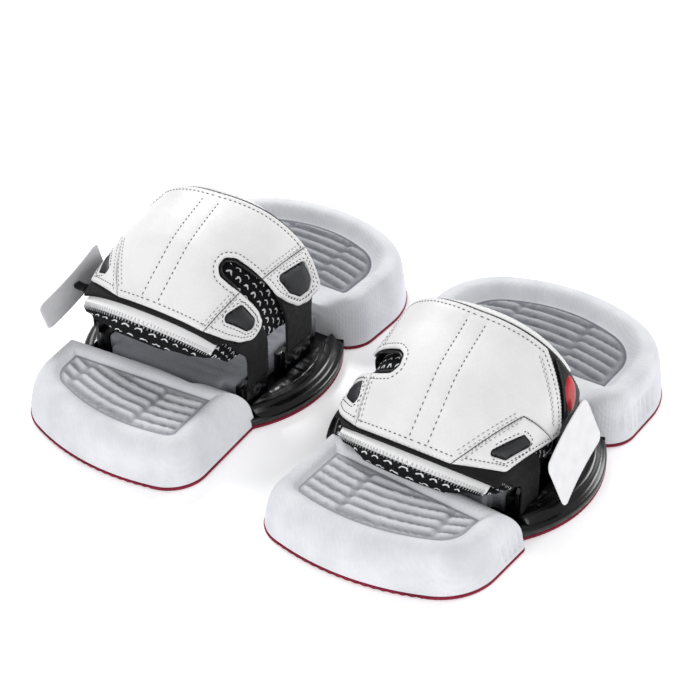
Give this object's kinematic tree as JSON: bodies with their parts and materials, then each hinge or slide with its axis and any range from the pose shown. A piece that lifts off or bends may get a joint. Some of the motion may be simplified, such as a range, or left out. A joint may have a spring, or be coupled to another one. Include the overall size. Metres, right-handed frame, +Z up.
{
  "type": "board sport foot binding pair",
  "caption": "Pair of pads-and-straps foot bindings: contoured foam footbeds on round base plates, each with a padded adjustable strap, peel-open tabs and a blank hang tag.",
  "frame": {"origin": "middle of the pair, on the floor plane, midway between the two base plates", "axes": "+Z up, toes toward -Y, +X toward the left foot, which is on the right as seen from the toes"},
  "size_m": [0.38, 0.3074, 0.1226],
  "materials": {
    "crimson_foam": "dense closed-cell foam sheet, matt crimson",
    "gloss_black_plastic": "moulded black plastic, glossy",
    "white_foam": "moulded foam, matt pale grey-white with a fine grain",
    "grey_foam": "moulded foam, matt grey",
    "black_mesh": "padded black mesh cloth with small pale flecks",
    "white_facing": "white facing cloth",
    "black_webbing": "black webbing and hook-and-loop backing, matt",
    "white_leather": "pearl-white synthetic leather with dark stitching",
    "window_rubber": "black rubber inlay, satin",
    "badge_rubber": "moulded rubber patch, black with a red field",
    "steel": "stainless steel",
    "card": "stiff white card, blank"
  },
  "bodies": {
    "bases": {"right_sole_gasket": "crimson_foam", "right_base_plate": "gloss_black_plastic", "right_toe_pad": "white_foam", "right_heel_pad": "white_foam", "right_arch_insert": "grey_foam", "right_inner_front_anchor": "gloss_black_plastic", "right_inner_front_screw": "steel", "right_inner_rear_anchor": "gloss_black_plastic", "right_inner_rear_screw": "steel", "right_outer_front_anchor": "gloss_black_plastic", "right_outer_front_screw": "steel", "right_outer_rear_anchor": "gloss_black_plastic", "right_outer_rear_screw": "steel", "left_sole_gasket": "crimson_foam", "left_base_plate": "gloss_black_plastic", "left_toe_pad": "white_foam", "left_heel_pad": "white_foam", "left_arch_insert": "grey_foam", "left_inner_front_anchor": "gloss_black_plastic", "left_inner_front_screw": "steel", "left_inner_rear_anchor": "gloss_black_plastic", "left_inner_rear_screw": "steel", "left_outer_front_anchor": "gloss_black_plastic", "left_outer_front_screw": "steel", "left_outer_rear_anchor": "gloss_black_plastic", "left_outer_rear_screw": "steel"},
    "right_strap": {"right_strap_lining": "black_mesh", "right_front_facing": "white_facing", "right_rear_facing": "white_facing", "right_strap_webbing": "black_webbing", "right_strap_cover": "white_leather", "right_outer_badge": "badge_rubber", "right_tag_loop": "black_webbing"},
    "right_inner_front_flap": {"right_inner_front_tab": "white_leather", "right_inner_front_window": "window_rubber"},
    "right_inner_rear_flap": {"right_inner_rear_tab": "white_leather", "right_inner_rear_window": "window_rubber"},
    "right_outer_front_flap": {"right_outer_front_tab": "white_leather", "right_outer_front_window": "window_rubber"},
    "right_tag": {"right_tag_card": "card"},
    "left_strap": {"left_strap_lining": "black_mesh", "left_front_facing": "white_facing", "left_rear_facing": "white_facing", "left_strap_webbing": "black_webbing", "left_strap_cover": "white_leather", "left_outer_badge": "badge_rubber", "left_tag_loop": "black_webbing"},
    "left_inner_front_flap": {"left_inner_front_tab": "white_leather", "left_inner_front_window": "window_rubber"},
    "left_inner_rear_flap": {"left_inner_rear_tab": "white_leather", "left_inner_rear_window": "window_rubber"},
    "left_outer_front_flap": {"left_outer_front_tab": "white_leather", "left_outer_front_window": "window_rubber"},
    "left_tag": {"left_tag_card": "card"}
  },
  "joints": [
    {"name": "right_strap_height", "type": "slide", "parent": "bases", "child": "right_strap", "axis": [0, 0, 1], "range_m": [-0.018, 0.004]},
    {"name": "right_inner_front_flap_peel", "type": "hinge", "parent": "right_strap", "child": "right_inner_front_flap", "pos_m": [-0.05386, -0.06048, 0.08234], "axis": [-0.203, -0.8896, -0.4091], "range_deg": [0, 50]},
    {"name": "right_inner_rear_flap_peel", "type": "hinge", "parent": "right_strap", "child": "right_inner_rear_flap", "pos_m": [-0.04247, -0.00483, 0.09195], "axis": [-0.0966, -0.9916, -0.0861], "range_deg": [0, 50]},
    {"name": "right_outer_front_flap_peel", "type": "hinge", "parent": "right_strap", "child": "right_outer_front_flap", "pos_m": [-0.14027, -0.0582, 0.08573], "axis": [-0.5249, 0.8082, 0.2671], "range_deg": [0, 14]},
    {"name": "right_tag_swing", "type": "hinge", "parent": "right_strap", "child": "right_tag", "pos_m": [-0.17522, -0.0615, 0.0595], "axis": [-0.9523, 0, 0.3051], "range_deg": [-30, 30]},
    {"name": "left_strap_height", "type": "slide", "parent": "bases", "child": "left_strap", "axis": [0, 0, 1], "range_m": [0, 0.022]},
    {"name": "left_inner_front_flap_peel", "type": "hinge", "parent": "left_strap", "child": "left_inner_front_flap", "pos_m": [0.054, -0.06244, 0.05835], "axis": [-0.1949, 0.8443, 0.4992], "range_deg": [0, 50]},
    {"name": "left_inner_rear_flap_peel", "type": "hinge", "parent": "left_strap", "child": "left_inner_rear_flap", "pos_m": [0.04242, -0.00699, 0.07399], "axis": [-0.0961, 0.981, 0.1687], "range_deg": [0, 50]},
    {"name": "left_outer_front_flap_peel", "type": "hinge", "parent": "left_strap", "child": "left_outer_front_flap", "pos_m": [0.14007, -0.06036, 0.06143], "axis": [-0.505, -0.7752, -0.3796], "range_deg": [0, 14]},
    {"name": "left_tag_swing", "type": "hinge", "parent": "left_strap", "child": "left_tag", "pos_m": [0.17426, -0.018, 0.0455], "axis": [-0.9523, 0, -0.3051], "range_deg": [-2, 28]}
  ]
}
